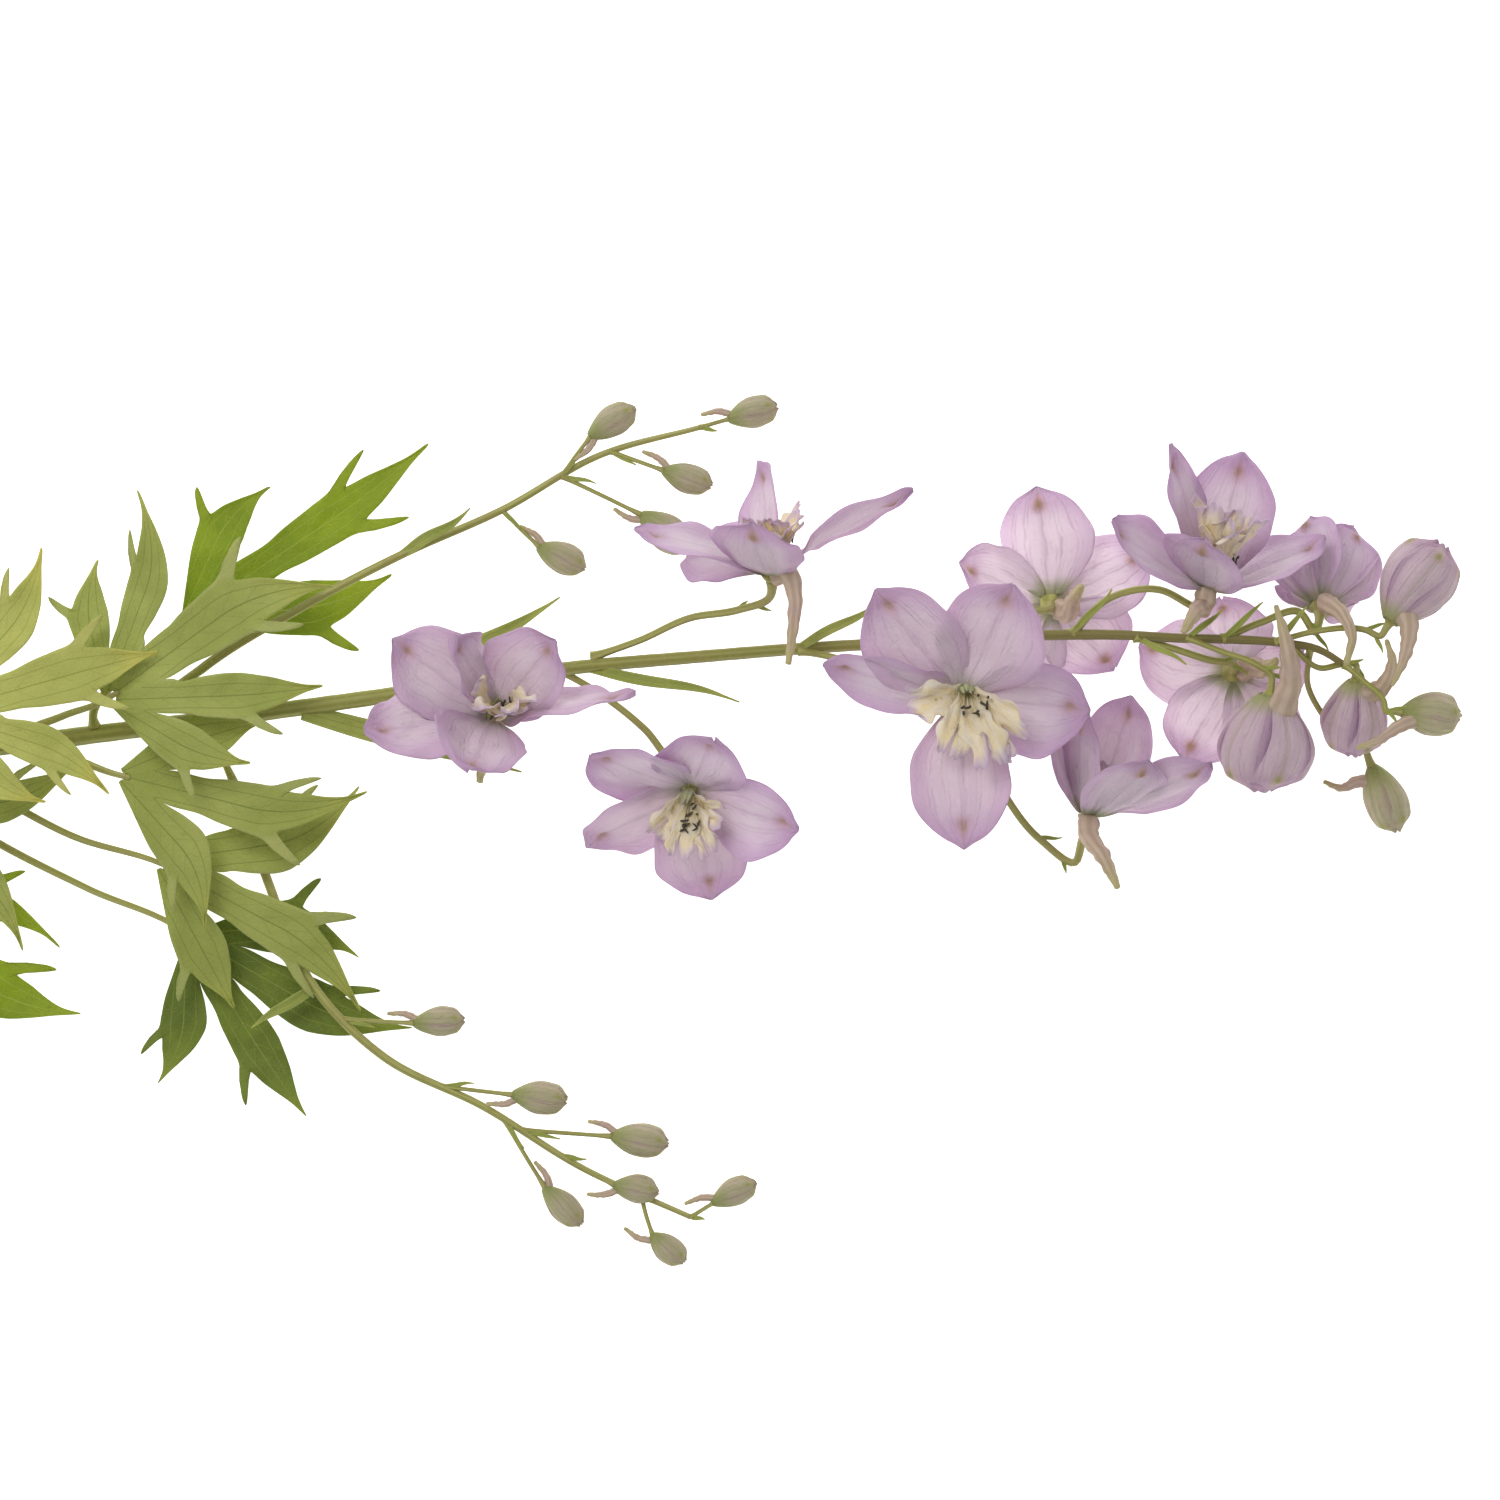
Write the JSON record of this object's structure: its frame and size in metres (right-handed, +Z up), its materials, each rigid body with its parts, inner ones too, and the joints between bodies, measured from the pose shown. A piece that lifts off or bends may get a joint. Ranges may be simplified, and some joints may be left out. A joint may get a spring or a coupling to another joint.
{
  "type": "delphinium flower spike",
  "caption": "Cut delphinium stem lying on its side: lilac spurred flowers and closed buds on a green stalk with deeply cut leaves and slim side shoots.",
  "frame": {"origin": "on the surface the stem lies on, under the middle of the bounding box", "axes": "+X from the cut end of the stalk to the tip of the spike, +Z up from the surface"},
  "size_m": [0.4347, 0.1934, 0.0554],
  "materials": {
    "stalk": "satin green plant stalk with fine hairs",
    "sepals": "matt translucent lilac petal",
    "eye": "matt cream petal with yellow beard",
    "bud": "matt lilac bud with green ribs",
    "side_shoot": "satin green shoot with grey green buds",
    "leaf": "satin green leaf with pale veins"
  },
  "bodies": {
    "root": {"stem": "stalk", "bloom_1_sepals": "sepals", "bloom_1_eye": "eye", "bloom_2_sepals": "sepals", "bloom_2_eye": "eye", "bloom_3_sepals": "sepals", "bloom_3_eye": "eye", "bloom_4_sepals": "sepals", "bloom_4_eye": "eye", "bloom_5_sepals": "sepals", "bloom_5_eye": "eye", "bloom_6_sepals": "sepals", "bloom_6_eye": "eye", "bloom_7_sepals": "sepals", "bloom_8_sepals": "sepals", "bloom_8_eye": "eye", "bloom_9_sepals": "sepals", "bloom_9_eye": "eye", "bud_1": "bud", "bud_2": "bud", "bud_3": "bud", "bud_4": "bud", "bud_5": "bud", "side_shoot_1": "side_shoot", "side_shoot_2": "side_shoot", "leaf_1": "leaf", "leaf_2": "leaf", "leaf_3": "leaf", "leaf_4": "leaf", "leaf_5": "leaf", "leaf_6": "leaf", "leaf_7": "leaf", "leaf_8": "leaf"}
  },
  "joints": []
}
